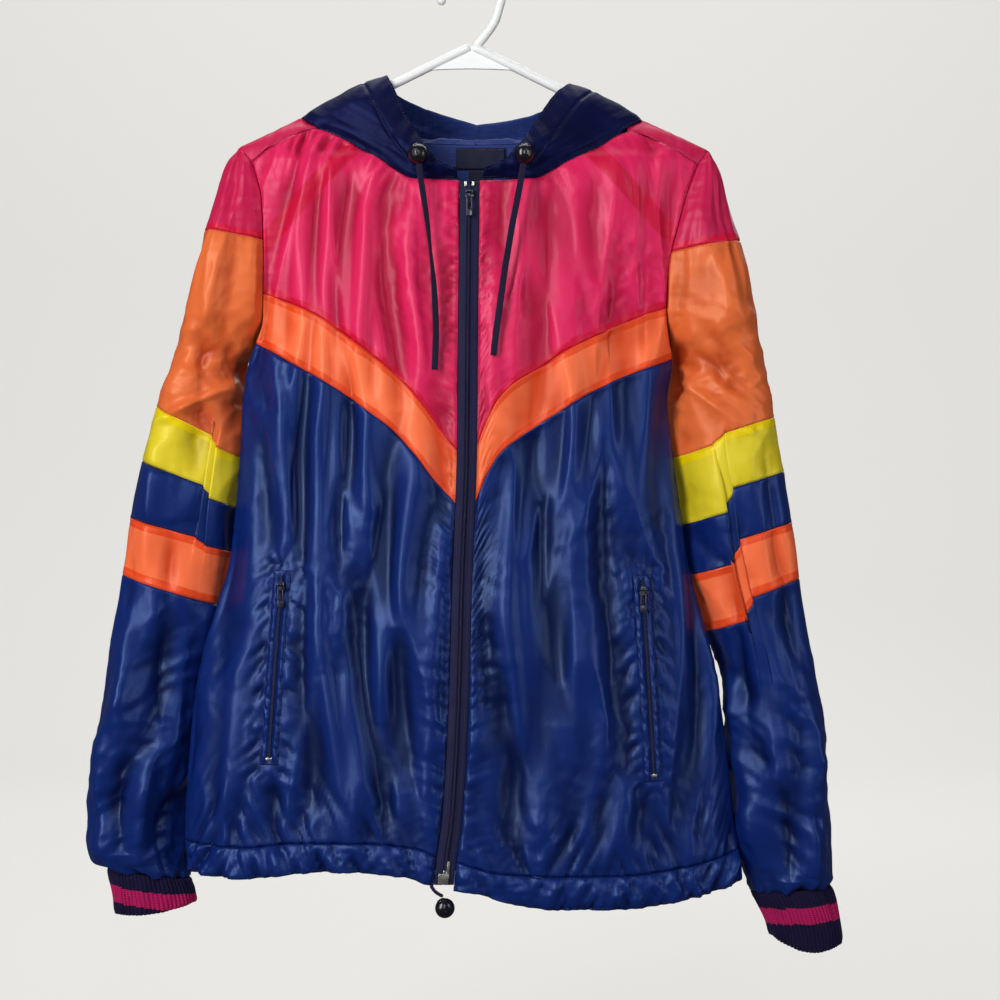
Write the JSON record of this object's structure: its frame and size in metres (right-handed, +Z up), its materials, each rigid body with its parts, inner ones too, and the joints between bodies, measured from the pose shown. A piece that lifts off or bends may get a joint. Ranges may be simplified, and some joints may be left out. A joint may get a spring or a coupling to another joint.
{
  "type": "windbreaker jacket on a hanger",
  "caption": "Hooded zip-front windbreaker in coloured panels with rib cuffs and zipped pockets, hanging zipped up on a white tubular plastic hanger.",
  "frame": {"origin": "inside top of the hanger's hook, where it bears on a rail or peg", "axes": "Z up, the jacket's front faces -Y, X runs along the hanger's arms with +X on the right seen from the front"},
  "size_m": [0.6454, 0.1279, 0.8449],
  "materials": {
    "hanger_plastic": "smooth white moulded plastic",
    "stopper_plastic": "polished black plastic",
    "zip_metal": "dark lacquered zinc",
    "zip_coil": "nylon coil",
    "zip_tape": "woven polyester tape",
    "cuff_rib": "rib knit, navy with one magenta stripe",
    "cord": "braided polyester cord",
    "label": "satin ribbon, bare",
    "lining": "fine mesh knit",
    "shell_hood": "glossy coated nylon taffeta",
    "shell_yellow": "glossy coated nylon taffeta",
    "shell_pink": "glossy coated nylon taffeta",
    "shell_orange": "glossy coated nylon taffeta",
    "shell_navy": "glossy coated nylon taffeta"
  },
  "bodies": {
    "jacket": {"hanger": "hanger_plastic", "back_hem": "shell_navy", "back_lower": "shell_navy", "back_band": "shell_orange", "back_yoke": "shell_pink", "front_hem_left": "shell_navy", "front_lower_left": "shell_navy", "front_band_left": "shell_orange", "front_yoke_left": "shell_pink", "front_hem_right": "shell_navy", "front_lower_right": "shell_navy", "front_band_right": "shell_orange", "front_yoke_right": "shell_pink", "shoulder_left": "shell_pink", "shoulder_right": "shell_pink", "sleeve_cap_left": "shell_pink", "sleeve_upper_left": "shell_orange", "sleeve_yellow_band_left": "shell_yellow", "sleeve_navy_band_left": "shell_navy", "sleeve_orange_band_left": "shell_orange", "sleeve_lower_left": "shell_navy", "sleeve_cap_right": "shell_pink", "sleeve_upper_right": "shell_orange", "sleeve_yellow_band_right": "shell_yellow", "sleeve_navy_band_right": "shell_navy", "sleeve_orange_band_right": "shell_orange", "sleeve_lower_right": "shell_navy", "cuff_left": "cuff_rib", "cuff_right": "cuff_rib", "hood_left": "shell_hood", "hood_right": "shell_hood", "zip_tape_left": "zip_tape", "zip_tape_right": "zip_tape", "zip_coil": "zip_coil", "pocket_left": "zip_tape", "pocket_left_slider": "zip_metal", "pocket_right": "zip_tape", "pocket_right_slider": "zip_metal", "drawcord_left": "cord", "stopper_left": "stopper_plastic", "drawcord_right": "cord", "stopper_right": "stopper_plastic", "hem_toggle": "stopper_plastic", "hem_cord": "cord", "back_lining": "lining", "neck_label": "label", "care_label": "label", "zip_slider": "zip_metal"},
    "zip_pull": {"zip_pull": "zip_metal"},
    "pocket_left_pull": {"pocket_left_pull": "zip_metal"},
    "pocket_right_pull": {"pocket_right_pull": "zip_metal"}
  },
  "joints": [
    {"name": "zip_pull_hinge", "type": "hinge", "parent": "jacket", "child": "zip_pull", "pos_m": [-0.00111, -0.03653, -0.196], "axis": [-1, 0, 0], "range_deg": [0, 150]},
    {"name": "pocket_left_pull_hinge", "type": "hinge", "parent": "jacket", "child": "pocket_left_pull", "pos_m": [-0.15782, -0.04403, -0.524], "axis": [-1, 0, 0], "range_deg": [0, 150]},
    {"name": "pocket_right_pull_hinge", "type": "hinge", "parent": "jacket", "child": "pocket_right_pull", "pos_m": [0.1437, -0.04265, -0.528], "axis": [-1, 0, 0], "range_deg": [0, 150]}
  ]
}
